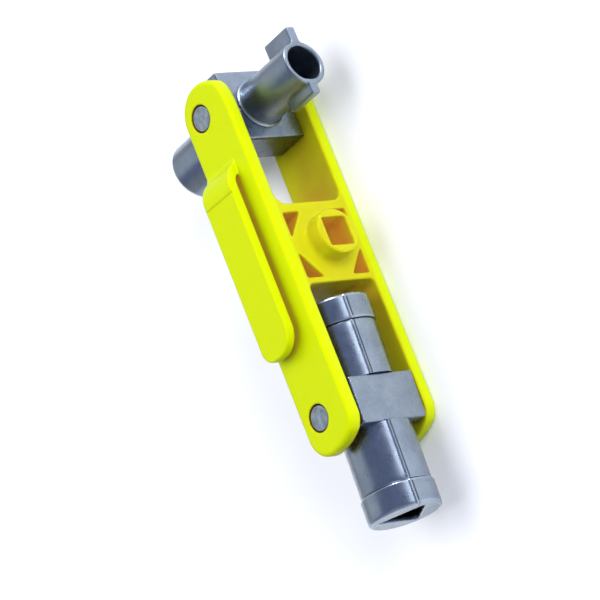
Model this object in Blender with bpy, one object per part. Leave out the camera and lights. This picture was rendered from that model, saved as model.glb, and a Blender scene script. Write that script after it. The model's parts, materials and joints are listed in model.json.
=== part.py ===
"""A folding hydrant and cabinet key: a moulded yoke that holds two double-ended swivel keys.

The tool lies on its right cheek. X runs along the yoke from the upper fork to the lower fork,
Y points out of the face with the square drive, and Z runs from the right cheek to the clip.
"""

import math

import bmesh
import bpy
from mathutils import Matrix, Vector

MM = 0.001

# Yoke, in millimetres. The origin is at mid-length and mid-depth, on the right cheek's outer face.
PIN_SPACING = 76.0
UPPER_PIN_X = -38.5
LOWER_PIN_X = UPPER_PIN_X + PIN_SPACING
PIN_Y = -2.05
UPPER_OVERHANG = 7.65
LOWER_OVERHANG = 8.9
YOKE_LENGTH = PIN_SPACING + UPPER_OVERHANG + LOWER_OVERHANG
YOKE_WIDTH = 26.0
YOKE_DEPTH = 16.1
CHEEK = 3.2
UPPER_BACK_CORNER = 7.6
LOWER_BACK_CORNER = 5.8
UPPER_BOW = 10.0
LOWER_BOW = 17.0
FRONT_CORNER = 2.6
RIM_ROUND = 1.0
WEB_TOP_X = -11.1
WEB_BOTTOM_X = 9.1
UPPER_FILLET = 3.0
LOWER_FILLET = 1.5

# Square drive in the web, and the cored pockets round it.
BOSS_X = -1.1
BOSS_RADIUS = 5.6
BOSS_FLARE = 1.7
BOSS_RIM = 0.5
BOSS_RISE = 4.8
DRIVE_SQUARE = 7.0
DRIVE_ROUND = 0.4
POCKET_FLOOR = 3.0
POCKET_TOP_X = -8.8
POCKET_BOTTOM_X = 7.6
POCKET_HALF_SPAN = 9.3
POCKET_LEGS = (6.3, 5.0)
POCKET_ROUND = 0.5

# Pivot pins.
PIN_RADIUS = 2.95
PIN_HOLE_RADIUS = 3.25
PIN_RECESS = 0.25
PIN_CHAMFER = 0.3

# Belt clip, on the left cheek.
CLIP_ROOT_X = -25.0
CLIP_HINGE_X = -24.0
CLIP_FOOT_X = -22.5
CLIP_SHOULDER_X = -21.6
CLIP_TIP_X = 22.0
CLIP_BACK_Y = -7.55
CLIP_FRONT_Y = 3.3
CLIP_STAND_OFF = 4.0
CLIP_THICKNESS = 2.4
CLIP_FRONT_CORNER = 5.8
CLIP_BACK_CORNER = 3.6
CLIP_EDGE = 0.45
CLIP_EASE = 0.25

# Swivel keys. Each is laid out along its own axis from the pin: x along the key, y across it.
NODE_GAP = 0.3
BLOCK_WIDTH = 19.0
BLOCK_ROUND = 0.55

LOWER_TURN = math.radians(-2.9)
LOWER_OFFSET = 2.4
TRIANGLE_REACH = 26.1
SQUARE_REACH = 25.2
LOWER_BLOCK = (11.3, 15.0)
BARREL_RADIUS = 8.25
BARREL_BORE = 6.6
BARREL_FLOOR = 3.0
RING_RADIUS = 8.65
RING_LENGTH = 6.2
RING_ROUND = 0.9
RING_EASE = 0.35
TRIANGLE_SIDE = 13.0
TRIANGLE_ROUND = 1.0
LARGE_SQUARE = 9.0
LARGE_SQUARE_ROUND = 0.5

UPPER_TURN = math.radians(91.3)
UPPER_OFFSET = -0.4
UPPER_BLOCK_SHIFT = 1.4
UPPER_FRONT_REACH = 24.9
UPPER_REAR_REACH = 22.0
UPPER_BLOCK = (9.8, 17.7)
TUBE_RADIUS = 5.6
TUBE_BORE = 4.3
TUBE_BORE_DEPTH = 17.0
TUBE_FLARE = 1.3
WING_SPAN = 17.3
WING_SHIFT = 0.75
WING_THICKNESS = 2.4
WING_LENGTH = 9.1
WING_ROUND = 0.6
WING_EASE = 0.05
REAR_RADIUS = 7.05
REAR_OFFSET = -2.25
REAR_ROUND = 1.3
SMALL_SQUARE = 8.0
SMALL_SQUARE_ROUND = 0.4
SMALL_SQUARE_DEPTH = 13.0

ROUND_STEPS = 48
SMOOTH_ANGLE = math.radians(30.0)
HALF_TURN = math.pi
QUARTER_TURN = math.pi / 2


def clear_scene():
    """Starts from an empty scene."""
    for old in list(bpy.data.objects):
        bpy.data.objects.remove(old, do_unlink=True)


def material(name, colour, roughness, metallic):
    """One Principled material with a plain finish."""
    finish = bpy.data.materials.new(name)
    finish.use_nodes = True
    shader = finish.node_tree.nodes["Principled BSDF"]
    shader.inputs["Base Color"].default_value = (*colour, 1.0)
    shader.inputs["Roughness"].default_value = roughness
    shader.inputs["Metallic"].default_value = metallic
    return finish


def arc(centre, radius, start, end, steps):
    """Points round a circle from one angle to another, both included."""
    angles = [start + (end - start) * i / steps for i in range(steps + 1)]
    return [(centre[0] + radius * math.cos(a), centre[1] + radius * math.sin(a)) for a in angles]


def rounded_polygon(corners, radius, steps):
    """A convex outline, listed anticlockwise, with an arc at each corner."""
    points = []
    for i, corner in enumerate(corners):
        here = Vector(corner)
        before = (Vector(corners[i - 1]) - here).normalized()
        after = (Vector(corners[(i + 1) % len(corners)]) - here).normalized()
        half = before.angle(after) / 2
        centre = here + (before + after).normalized() * radius / math.sin(half)
        foot = here + before * radius / math.tan(half) - centre
        first = math.atan2(foot.y, foot.x)
        points += arc(centre, radius, first, first + HALF_TURN - 2 * half, steps)
    return points


def regular_corners(count, side):
    """Corners of a regular polygon about the origin, anticlockwise, with one corner at +Y."""
    reach = side / (2 * math.sin(HALF_TURN / count))
    angles = [QUARTER_TURN + 2 * HALF_TURN * i / count for i in range(count)]
    return [(reach * math.cos(a), reach * math.sin(a)) for a in angles]


def square_corners(side):
    """Corners of a square with its sides along the axes, anticlockwise."""
    half = side / 2
    return [(-half, -half), (half, -half), (half, half), (-half, half)]


def prism(outline, low, high):
    """A closed prism over an outline in X and Y, from one height to another."""
    shape = bmesh.new()
    base = shape.faces.new([shape.verts.new((x, y, low)) for x, y in outline])
    grown = bmesh.ops.extrude_face_region(shape, geom=[base])
    tops = [v for v in grown["geom"] if isinstance(v, bmesh.types.BMVert)]
    bmesh.ops.translate(shape, vec=(0, 0, high - low), verts=tops)
    return shape


def turned(profile):
    """A closed solid of revolution about Z, from (radius, height) points that start and end at radius 0."""
    shape = bmesh.new()
    verts = [shape.verts.new((r, 0, z)) for r, z in profile]
    edges = [shape.edges.new(pair) for pair in zip(verts, verts[1:])]
    bmesh.ops.spin(shape, geom=verts + edges, axis=(0, 0, 1), cent=(0, 0, 0),
                   steps=ROUND_STEPS, angle=2 * HALF_TURN)
    bmesh.ops.remove_doubles(shape, verts=shape.verts, dist=1e-4)
    return shape


def box(size, centre, round_width=0.0):
    """A box, with all its edges rounded if a width is given."""
    shape = bmesh.new()
    bmesh.ops.create_cube(shape, size=1.0, matrix=Matrix.Translation(centre) @ Matrix.Diagonal((*size, 1.0)))
    if round_width > 0:
        bmesh.ops.bevel(shape, geom=shape.edges[:], offset=round_width, segments=3,
                        profile=0.5, affect="EDGES")
    return shape


def move(shape, turn=None, offset=(0, 0, 0)):
    """Turns a shape about the origin and then shifts it."""
    if turn is not None:
        bmesh.ops.rotate(shape, verts=shape.verts, matrix=Matrix.Rotation(turn[0], 3, turn[1]))
    bmesh.ops.translate(shape, vec=offset, verts=shape.verts)
    return shape


def shade(mesh):
    """Smooth faces, with sharp edges where the surface turns quickly."""
    mesh.shade_smooth()
    mesh.set_sharp_from_angle(angle=SMOOTH_ANGLE)


def make(name, shape, finish=None, parent=None):
    """Writes a shape in millimetres to a named object in metres, under a parent empty if one is given."""
    bmesh.ops.scale(shape, vec=(MM, MM, MM), verts=shape.verts)
    bmesh.ops.recalc_face_normals(shape, faces=shape.faces)
    mesh = bpy.data.meshes.new(name)
    shape.to_mesh(mesh)
    shape.free()
    shade(mesh)
    thing = bpy.data.objects.new(name, mesh)
    bpy.context.scene.collection.objects.link(thing)
    if finish is not None:
        mesh.materials.append(finish)
    thing.parent = parent
    return thing


def combine(target, steps):
    """Cuts or joins each (operation, name, shape) with the target, and keeps only the finished mesh."""
    helpers = []
    for operation, name, shape in steps:
        helper = make(name, shape, parent=target.parent)
        helper.hide_render = True
        helper.display_type = "WIRE"
        step = target.modifiers.new(name, "BOOLEAN")
        step.operation = operation
        step.solver = "EXACT"
        step.object = helper
        helpers.append(helper)
    bpy.context.view_layer.update()
    finished = bpy.data.meshes.new_from_object(target.evaluated_get(bpy.context.evaluated_depsgraph_get()))
    target.modifiers.clear()
    target.data = finished
    for helper in helpers:
        bpy.data.objects.remove(helper, do_unlink=True)
    tidy = bmesh.new()
    tidy.from_mesh(finished)
    bmesh.ops.remove_doubles(tidy, verts=tidy.verts, dist=1e-7)
    bmesh.ops.dissolve_degenerate(tidy, dist=1e-7, edges=tidy.edges)
    tidy.to_mesh(finished)
    tidy.free()
    shade(finished)


def end_outline(pin_x, side, overhang, back_corner, bow):
    """One end of the cheek, from back to front: a round back corner, a bowed end, a small front corner."""
    back_centre_y = -YOKE_DEPTH / 2 + back_corner
    front_centre_y = YOKE_DEPTH / 2 - FRONT_CORNER
    bow_centre = (overhang - bow, back_centre_y)
    meet = math.asin((front_centre_y - back_centre_y) / (bow - FRONT_CORNER))
    front_centre = (bow_centre[0] + (bow - FRONT_CORNER) * math.cos(meet), front_centre_y)
    points = arc((overhang - back_corner, back_centre_y), back_corner, -QUARTER_TURN, 0, 9)
    points += arc(bow_centre, bow, 0, meet, 6)[1:]
    points += arc(front_centre, FRONT_CORNER, meet, QUARTER_TURN, 4)[1:]
    placed = [(pin_x + side * u, v) for u, v in points]
    return placed if side > 0 else placed[::-1]


def yoke_blank():
    """The yoke before it is cut: its side view carried across its width, with rounded rims."""
    lower = end_outline(LOWER_PIN_X, 1, LOWER_OVERHANG, LOWER_BACK_CORNER, LOWER_BOW)
    upper = end_outline(UPPER_PIN_X, -1, UPPER_OVERHANG, UPPER_BACK_CORNER, UPPER_BOW)
    shape = prism(lower + upper, 0, YOKE_WIDTH)
    rims = [e for e in shape.edges if abs(e.verts[0].co.z - e.verts[1].co.z) < 1e-6]
    bmesh.ops.bevel(shape, geom=rims, offset=RIM_ROUND, segments=4, profile=0.5, affect="EDGES")
    return shape


def fork_gap(inner_x, outer_x, fillet):
    """The gap between the cheeks, with round inner corners, right through from front to back."""
    side = math.copysign(1, outer_x - inner_x)
    reach = YOKE_WIDTH / 2 - CHEEK
    centre = (inner_x + side * fillet, reach - fillet)
    corner = [(centre[0] - side * fillet * math.sin(a), centre[1] + fillet * math.cos(a))
              for a in [QUARTER_TURN * i / 5 for i in range(6)]]
    outline = [(outer_x, reach)] + corner + [(x, -z) for x, z in corner[::-1]] + [(outer_x, -reach)]
    shape = prism(outline, -YOKE_DEPTH, YOKE_DEPTH)
    return move(shape, (QUARTER_TURN, "X"), (0, 0, YOKE_WIDTH / 2))


def drive_boss():
    """The round boss on the web's front, flared at its foot, pointing along +Y."""
    front = YOKE_DEPTH / 2
    top = front + BOSS_RISE
    quarter = [QUARTER_TURN * i / 5 for i in range(6)]
    flare = [(BOSS_RADIUS + BOSS_FLARE * (1 - math.sin(a)), front + BOSS_FLARE * (1 - math.cos(a)))
             for a in quarter]
    rim = arc((BOSS_RADIUS - BOSS_RIM, top - BOSS_RIM), BOSS_RIM, 0, QUARTER_TURN, 4)
    root = front - CHEEK
    shape = turned([(0, root), (BOSS_RADIUS + BOSS_FLARE, root)] + flare + rim + [(0, top)])
    return move(shape, (-QUARTER_TURN, "X"), (BOSS_X, 0, YOKE_WIDTH / 2))


def drive_hole():
    """The square hole, straight through the boss and the web."""
    outline = rounded_polygon(square_corners(DRIVE_SQUARE), DRIVE_ROUND, 3)
    shape = prism(outline, -YOKE_DEPTH, YOKE_DEPTH)
    return move(shape, (QUARTER_TURN, "X"), (BOSS_X, 0, YOKE_WIDTH / 2))


def pocket(corner_x, sign_x, sign_z):
    """One blind three-cornered pocket, with its square corner towards a corner of the web."""
    corner = (corner_x, sign_z * POCKET_HALF_SPAN)
    along = (corner[0] - sign_x * POCKET_LEGS[0], corner[1])
    across = (corner[0], corner[1] - sign_z * POCKET_LEGS[1])
    corners = [corner, along, across] if sign_x * sign_z > 0 else [corner, across, along]
    outline = rounded_polygon(corners, POCKET_ROUND, 3)
    depth = YOKE_DEPTH - POCKET_FLOOR
    shape = move(prism(outline, -depth, 1), offset=(0, 0, YOKE_DEPTH / 2))
    return move(mirror_y_to_z(shape), offset=(0, 0, YOKE_WIDTH / 2))


def mirror_y_to_z(shape):
    """Swaps Y and Z, so that a shape drawn in X and Y with height Z stands along +Y instead."""
    swap = Matrix(((1, 0, 0), (0, 0, 1), (0, 1, 0)))
    bmesh.ops.transform(shape, matrix=swap.to_4x4(), verts=shape.verts)
    return shape


def build_yoke(finish):
    """The moulded yoke: two cheeks, the web between them, the drive boss, pockets and pin holes."""
    yoke = make("yoke_frame", yoke_blank(), finish)
    steps = [("DIFFERENCE", "upper_fork_gap", fork_gap(WEB_TOP_X, -YOKE_LENGTH, UPPER_FILLET)),
             ("DIFFERENCE", "lower_fork_gap", fork_gap(WEB_BOTTOM_X, YOKE_LENGTH, LOWER_FILLET)),
             ("UNION", "drive_boss", drive_boss()),
             ("DIFFERENCE", "drive_hole", drive_hole())]
    for sign_x, corner_x in ((-1, POCKET_TOP_X), (1, POCKET_BOTTOM_X)):
        for sign_z in (-1, 1):
            steps.append(("DIFFERENCE", f"pocket_{sign_x}_{sign_z}", pocket(corner_x, sign_x, sign_z)))
    for pin_x in (UPPER_PIN_X, LOWER_PIN_X):
        hole = pin_shape(PIN_HOLE_RADIUS, -1, YOKE_WIDTH + 1, 0)
        steps.append(("DIFFERENCE", f"pin_hole_{pin_x}", move(hole, offset=(pin_x, PIN_Y, 0))))
    combine(yoke, steps)


def pin_shape(radius, low, high, chamfer):
    """A round bar along Z, with chamfered ends if a width is given."""
    if chamfer == 0:
        return turned([(0, low), (radius, low), (radius, high), (0, high)])
    return turned([(0, low), (radius - chamfer, low), (radius, low + chamfer),
                   (radius, high - chamfer), (radius - chamfer, high), (0, high)])


def build_pins(finish):
    """The two cross pins, one object each, with their origins on their joints' axes."""
    for label, pin_x in (("upper", UPPER_PIN_X), ("lower", LOWER_PIN_X)):
        shape = pin_shape(PIN_RADIUS, PIN_RECESS, YOKE_WIDTH - PIN_RECESS, PIN_CHAMFER)
        pin = make(label + "_pivot_pin", shape, finish)
        pin.location = (pin_x * MM, PIN_Y * MM, 0)


def build_clip(finish):
    """The belt clip: a foot on the left cheek, a ramp, and a flat tongue with a round tip."""
    hinge = empty("clip_hinge", (CLIP_HINGE_X, 0, YOKE_WIDTH + NODE_GAP), 0)
    top = CLIP_STAND_OFF - NODE_GAP
    under = top - CLIP_THICKNESS
    slope = top / (CLIP_SHOULDER_X - CLIP_ROOT_X)
    ease = CLIP_EASE / slope
    profile = [(CLIP_ROOT_X, 0), (CLIP_FOOT_X, 0), (CLIP_FOOT_X + under / slope, under),
               (CLIP_TIP_X, under), (CLIP_TIP_X, top), (CLIP_SHOULDER_X, top),
               (CLIP_ROOT_X + ease, CLIP_EASE * 2)]
    side = [(x - CLIP_HINGE_X, z) for x, z in profile]
    shape = mirror_y_to_z(prism(side, CLIP_BACK_Y, CLIP_FRONT_Y))
    clip = make("belt_clip", shape, finish, hinge)
    combine(clip, [("INTERSECT", "clip_plan", clip_plan())])
    edges = clip.modifiers.new("edges", "BEVEL")
    edges.width = CLIP_EDGE * MM
    edges.segments = 2
    edges.limit_method = "ANGLE"
    edges.angle_limit = SMOOTH_ANGLE


def clip_plan():
    """The clip seen from above: parallel sides and a tip with two unequal round corners."""
    tip = CLIP_TIP_X - CLIP_HINGE_X
    root = CLIP_ROOT_X - CLIP_HINGE_X - 1
    back = arc((tip - CLIP_BACK_CORNER, CLIP_BACK_Y + CLIP_BACK_CORNER), CLIP_BACK_CORNER,
               -QUARTER_TURN, 0, 7)
    front = arc((tip - CLIP_FRONT_CORNER, CLIP_FRONT_Y - CLIP_FRONT_CORNER), CLIP_FRONT_CORNER,
                0, QUARTER_TURN, 9)
    return prism([(root, CLIP_BACK_Y)] + back + front + [(root, CLIP_FRONT_Y)], -1, CLIP_STAND_OFF + 1)


def empty(name, place, turn):
    """A parent empty at a joint, in millimetres, turned about Z."""
    joint = bpy.data.objects.new(name, None)
    bpy.context.scene.collection.objects.link(joint)
    joint.location = [value * MM for value in place]
    joint.rotation_euler = (0, 0, turn)
    return joint


def along_key(shape, direction, start, offset):
    """Lays a shape that was turned about Z along the key's x axis, forwards (1) or backwards (-1)."""
    return move(shape, (direction * QUARTER_TURN, "Y"), (direction * start, offset, 0))


def build_block(name, size, centre_x, offset, finish, pivot):
    """The rectangular middle of a key, with the bore that turns on the cross pin."""
    shape = box((size[0], size[1], BLOCK_WIDTH), (centre_x, offset, 0), BLOCK_ROUND)
    block = make(name, shape, finish, pivot)
    bore = pin_shape(PIN_HOLE_RADIUS, -BLOCK_WIDTH, BLOCK_WIDTH, 0)
    combine(block, [("DIFFERENCE", name + "_bore", bore)])


def build_barrel(name, direction, reach, finish, pivot):
    """A hollow barrel of the lower key, from the block to the seam of its socket ring."""
    start = LOWER_BLOCK[0] / 2 + NODE_GAP
    length = reach - RING_LENGTH - NODE_GAP - start
    ease = RING_EASE
    outside = [(0, 0), (BARREL_RADIUS, 0), (BARREL_RADIUS, length - ease), (BARREL_RADIUS - ease, length)]
    shape = turned(outside + [(BARREL_BORE, length), (BARREL_BORE, BARREL_FLOOR), (0, BARREL_FLOOR)])
    make(name, along_key(shape, direction, start, LOWER_OFFSET), finish, pivot)


def build_ring(name, direction, reach, outline, finish, pivot):
    """The end ring of the lower key, with a round outer end and a keyed hole right through."""
    rim = arc((RING_RADIUS - RING_ROUND, RING_LENGTH - RING_ROUND), RING_ROUND, 0, QUARTER_TURN, 5)
    inner = [(0, 0), (RING_RADIUS - RING_EASE, 0), (RING_RADIUS, RING_EASE)]
    shape = turned(inner + rim + [(0, RING_LENGTH)])
    start = reach - RING_LENGTH
    ring = make(name, along_key(shape, direction, start, LOWER_OFFSET), finish, pivot)
    hole = prism(outline, -1, RING_LENGTH + 1)
    combine(ring, [("DIFFERENCE", name + "_hole", along_key(hole, direction, start, LOWER_OFFSET))])


def build_lower_key(finish):
    """The lower key, in line with the yoke: a block, two barrels and two socket rings."""
    pivot = empty("lower_key_pivot", (LOWER_PIN_X, PIN_Y, YOKE_WIDTH / 2), LOWER_TURN)
    build_block("lower_pivot_block", LOWER_BLOCK, 0, LOWER_OFFSET, finish, pivot)
    triangle = rounded_polygon(regular_corners(3, TRIANGLE_SIDE), TRIANGLE_ROUND, 4)
    square = rounded_polygon(square_corners(LARGE_SQUARE), LARGE_SQUARE_ROUND, 3)
    build_barrel("triangle_barrel", 1, TRIANGLE_REACH, finish, pivot)
    build_ring("triangle_socket_ring", 1, TRIANGLE_REACH, triangle, finish, pivot)
    build_barrel("square_barrel", -1, SQUARE_REACH, finish, pivot)
    build_ring("square_socket_ring", -1, SQUARE_REACH, square, finish, pivot)


def build_bit_tube(finish, pivot):
    """The upper key's front arm: a hollow stem with two opposite bits of unequal height."""
    start = UPPER_BLOCK_SHIFT + UPPER_BLOCK[0] / 2 + NODE_GAP
    length = UPPER_FRONT_REACH - start
    flare = [(TUBE_RADIUS + TUBE_FLARE * (1 - math.sin(a)), TUBE_FLARE * (1 - math.cos(a)))
             for a in [QUARTER_TURN * i / 4 for i in range(5)]]
    middle = (TUBE_RADIUS + TUBE_BORE) / 2
    rim = arc((middle, length - (TUBE_RADIUS - middle)), TUBE_RADIUS - middle, 0, HALF_TURN, 6)
    floor = length - TUBE_BORE_DEPTH
    shape = turned([(0, 0)] + flare + rim + [(TUBE_BORE, floor), (0, floor)])
    tube = make("double_bit_tube", along_key(shape, 1, start, UPPER_OFFSET), finish, pivot)
    steps = []
    for side in (-1, 1):
        height = WING_SPAN / 2 + side * WING_SHIFT - middle
        centre_x = UPPER_FRONT_REACH - WING_EASE - WING_LENGTH / 2
        centre_y = UPPER_OFFSET + side * (middle + height / 2)
        bit = box((WING_LENGTH, height, WING_THICKNESS), (centre_x, centre_y, 0), WING_ROUND)
        steps.append(("UNION", f"bit_{side}", bit))
    combine(tube, steps)


def build_rear_barrel(finish, pivot):
    """The upper key's rear arm: a plain round barrel with a blind square socket."""
    start = UPPER_BLOCK[0] / 2 - UPPER_BLOCK_SHIFT + NODE_GAP
    length = UPPER_REAR_REACH - start
    rim = arc((REAR_RADIUS - REAR_ROUND, length - REAR_ROUND), REAR_ROUND, 0, QUARTER_TURN, 4)
    shape = turned([(0, 0), (REAR_RADIUS, 0)] + rim + [(0, length)])
    barrel = make("small_square_barrel", along_key(shape, -1, start, REAR_OFFSET), finish, pivot)
    square = rounded_polygon(square_corners(SMALL_SQUARE), SMALL_SQUARE_ROUND, 3)
    hole = prism(square, length - SMALL_SQUARE_DEPTH, length + 1)
    combine(barrel, [("DIFFERENCE", "small_square_hole", along_key(hole, -1, start, REAR_OFFSET))])


def build_upper_key(finish):
    """The upper key, turned square to the yoke: a block, the double-bit tube and the rear barrel."""
    pivot = empty("upper_key_pivot", (UPPER_PIN_X, PIN_Y, YOKE_WIDTH / 2), UPPER_TURN)
    build_block("upper_pivot_block", UPPER_BLOCK, UPPER_BLOCK_SHIFT, UPPER_OFFSET, finish, pivot)
    build_bit_tube(finish, pivot)
    build_rear_barrel(finish, pivot)


def main():
    """Builds the whole tool."""
    clear_scene()
    moulded = material("fluorescent_nylon", (0.76, 0.87, 0.01), 0.42, 0.0)
    zinc = material("satin_zinc", (0.45, 0.48, 0.53), 0.32, 1.0)
    steel = material("pin_steel", (0.50, 0.55, 0.60), 0.38, 1.0)
    build_yoke(moulded)
    build_clip(moulded)
    build_pins(steel)
    build_upper_key(zinc)
    build_lower_key(zinc)


main()
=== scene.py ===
# %% [markdown]
# # A folding hydrant key
#
# The tool is a moulded yoke of fluorescent nylon with two swivel keys of cast zinc. The packed
# model gives the exact places and sizes, and this lesson builds the surfaces that are seen: edges
# with real radii, fillets where the mould had them, and finishes with grain and wear. Sizes here
# are in millimetres until a mesh is written, because that is how a toolmaker reads them.

# %% Load the fixed model
import json
import math

import bmesh
import bpy
import numpy as np
from mathutils import Matrix, Vector


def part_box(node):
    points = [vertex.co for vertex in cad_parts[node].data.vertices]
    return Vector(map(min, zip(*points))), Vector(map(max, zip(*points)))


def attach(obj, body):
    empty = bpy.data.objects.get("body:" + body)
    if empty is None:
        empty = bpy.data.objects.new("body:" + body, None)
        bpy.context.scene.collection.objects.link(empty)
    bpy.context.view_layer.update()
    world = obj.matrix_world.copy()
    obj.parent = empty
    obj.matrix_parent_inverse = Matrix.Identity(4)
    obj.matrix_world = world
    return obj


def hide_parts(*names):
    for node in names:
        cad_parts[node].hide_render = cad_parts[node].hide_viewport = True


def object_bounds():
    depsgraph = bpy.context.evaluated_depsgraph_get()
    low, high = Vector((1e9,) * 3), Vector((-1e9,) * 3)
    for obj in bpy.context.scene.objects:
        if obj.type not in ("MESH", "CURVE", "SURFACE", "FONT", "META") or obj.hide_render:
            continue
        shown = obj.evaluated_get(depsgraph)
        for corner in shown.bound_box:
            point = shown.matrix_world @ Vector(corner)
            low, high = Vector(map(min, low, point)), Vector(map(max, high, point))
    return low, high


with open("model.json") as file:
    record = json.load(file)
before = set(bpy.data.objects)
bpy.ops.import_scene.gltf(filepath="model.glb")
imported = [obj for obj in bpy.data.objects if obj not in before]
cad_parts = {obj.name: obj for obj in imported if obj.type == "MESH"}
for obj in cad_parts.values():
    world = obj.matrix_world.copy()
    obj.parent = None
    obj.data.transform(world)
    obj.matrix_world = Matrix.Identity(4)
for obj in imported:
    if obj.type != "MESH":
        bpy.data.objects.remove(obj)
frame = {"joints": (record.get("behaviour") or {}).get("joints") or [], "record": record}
cad_box = [list(corner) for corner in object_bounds()]
MM = 0.001
print("model box in mm:", [[round(v / MM, 2) for v in corner] for corner in cad_box])

# %% [markdown]
# The joints give the pins' centres, and the end faces of the keys give the way each key points.
# A node's box gives the size of its piece. Everything below starts from these few numbers.

# %% Read the driving sizes from the model
joints = {joint["name"]: joint for joint in frame["joints"]}
mounts = {mount["name"]: mount for mount in frame["record"]["mounts"]}


def box_mm(node):
    """The lowest and highest corner of a node, in millimetres."""
    return [np.array(corner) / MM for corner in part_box(node)]


def key_frame(joint, end_face):
    """A key's pin centre and its direction, both in millimetres and unit vectors of the model."""
    place = np.array(joints[joint]["pos_m"]) / MM
    direction = np.array(mounts[end_face]["axis"], float)
    return place, direction / np.linalg.norm(direction)


LOWER_KEY = key_frame("lower_key_swivel", "triangle_end_face")
UPPER_KEY = key_frame("upper_key_swivel", "double_bit_face")
YOKE_LOW, YOKE_HIGH = box_mm("yoke_frame")
CHEEK_TOP = YOKE_HIGH[2]
MIDDLE = LOWER_KEY[0][2]
print("pins at", LOWER_KEY[0].round(2), UPPER_KEY[0].round(2))

# %% [markdown]
# ## Moulded shapes as fields
#
# A moulding is one skin with a small radius on every edge and a fillet in every corner. Bevels
# on a mesh with this many cuts are fragile. A distance field is steadier: it is a formula that is
# negative inside the part and positive outside. Two fields are joined or cut by taking the lesser
# or the greater, and a quarter circle in place of the crease gives the edge its radius.

# %% Join and cut fields with rounded edges


def both(a, b, radius):
    """Inside both fields: the greater of the two, with a round outer edge of this radius."""
    corner = np.hypot(np.maximum(a + radius, 0), np.maximum(b + radius, 0))
    return np.minimum(-radius, np.maximum(a, b)) + corner


def either(a, b, radius):
    """Inside either field: the lesser of the two, with a fillet of this radius between them."""
    return -both(-a, -b, radius)


def cut(a, b, radius):
    """The first field with the second taken out of it, and the new edge rounded."""
    return both(a, -b, radius)


edge_test = both(np.array([-0.2]), np.array([-0.2]), 1.0)
print("0.2 in from both faces of a 1 mm round edge, the field reads", edge_test.round(3))

# %% [markdown]
# ## From a field to a mesh
#
# The field is read on a grid of small cells. Each cell that the surface crosses gets one vertex,
# at the mean of the crossings on its edges, and each crossed grid edge gets one four-sided face
# between the four cells round it. The vertices are then moved down the slope of the field until
# it reads nought, so the mesh lies on the true surface, finer than the cells it came from.

# %% The surface of a field


def slope(field, points):
    """The field's gradient, from its change over a hundredth of a millimetre each way."""
    step = 0.01
    rises = []
    for axis in range(3):
        shift = np.zeros(3)
        shift[axis] = step
        rises.append(field(*(points + shift).T) - field(*(points - shift).T))
    return np.stack(rises, 1) / (2 * step)


def crossings(value, axis):
    """Grid edges along one axis that the surface crosses: lower corner, crossing, and direction."""
    low = value[tuple(slice(None, -1) if i == axis else slice(None) for i in range(3))]
    high = value[tuple(slice(1, None) if i == axis else slice(None) for i in range(3))]
    crossed = (low < 0) != (high < 0)
    corner = np.argwhere(crossed)
    place = corner.astype(float)
    place[:, axis] += low[crossed] / (low[crossed] - high[crossed])
    return corner, place, low[crossed] < 0


def field_surface(field, low, high, cell):
    """Points and four-sided faces on the surface where a field reads nought, within a box."""
    low = np.array(low, float) - 2 * cell
    counts = np.ceil((np.array(high, float) + 2 * cell - low) / cell).astype(int) + 1
    axes = [low[i] + cell * np.arange(counts[i]) for i in range(3)]
    value = field(*np.meshgrid(*axes, indexing="ij"))
    stride = np.array([counts[1] * counts[2], counts[2], 1])
    rings = []
    places = []
    for axis in range(3):
        corner, place, leaves = crossings(value, axis)
        across, up = stride[(axis + 1) % 3], stride[(axis + 2) % 3]
        ring = (corner @ stride)[:, None] - np.array([0, across, across + up, up])
        rings.append(np.where(leaves[:, None], ring, ring[:, ::-1]))
        places.append(np.repeat(place, 4, axis=0))
    rings = np.concatenate(rings)
    places = np.concatenate(places)
    index = np.unique(rings.ravel(), return_inverse=True)[1].ravel()
    total = np.stack([np.bincount(index, weights=places[:, i]) for i in range(3)], 1)
    points = low + cell * total / np.bincount(index)[:, None]
    for _ in range(5):
        rise = slope(field, points)
        step = field(*points.T) / np.maximum((rise ** 2).sum(1), 0.3)
        points = points - np.clip(step, -cell, cell)[:, None] * rise
    return points, index.reshape(-1, 4)


def edge_and_crease_of(field, points, reach):
    """How near a vertex is to a sharp outer edge (above nought) or an inner corner (below)."""
    rise = slope(field, points)
    normal = rise / np.maximum(np.linalg.norm(rise, axis=1), 1e-6)[:, None]
    under = field(*(points - reach * normal).T) / reach + 1
    over = 1 - field(*(points + reach * normal).T) / reach
    return np.clip(under, 0, 1) - np.clip(over, 0, 1)


def trial_ball(x, y, z):
    """The simplest field, to try the mesher on: distance from the middle, less 5 mm."""
    return np.sqrt(x ** 2 + y ** 2 + z ** 2) - 5.0


ball_points, ball_faces = field_surface(trial_ball, (-5, -5, -5), (5, 5, 5), 0.5)
ball_error = np.abs(trial_ball(*ball_points.T)).max()
print("a trial ball has", len(ball_faces), "faces; its worst error in mm is", ball_error.round(6))

# %% [markdown]
# ## Turned shapes
#
# Barrels, rings and pins are profiles carried round an axis. The profile is a list of stations:
# how far along the axis, how far out, and how much of a keyed hole's own outline to add. The hole
# is a rounded triangle or square whose distance from the axis is a formula of the angle, so the
# same grid of angle against station makes a plain pin and a socket with a three-cornered hole.

# %% A profile carried round an axis
WORN_TURN = math.radians(14)


def keyed_reach(angle, sides, inradius, corner, turn):
    """Distance from the axis to a rounded polygon: flat sides, with a circle in each corner.

    On a flat it is the inradius over the cosine; in a corner it is where the ray leaves the circle.
    """
    share = 2 * math.pi / sides
    off_flat = np.abs((angle - turn) % share - share / 2)
    centre = (inradius - corner) / math.cos(share / 2)
    flat_end = math.atan((inradius - corner) * math.tan(share / 2) / inradius)
    from_corner = share / 2 - off_flat
    root = np.sqrt(np.maximum(corner ** 2 - (centre * np.sin(from_corner)) ** 2, 0))
    round_part = centre * np.cos(from_corner) + root
    return np.where(off_flat < flat_end, inradius / np.cos(off_flat), round_part)


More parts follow.
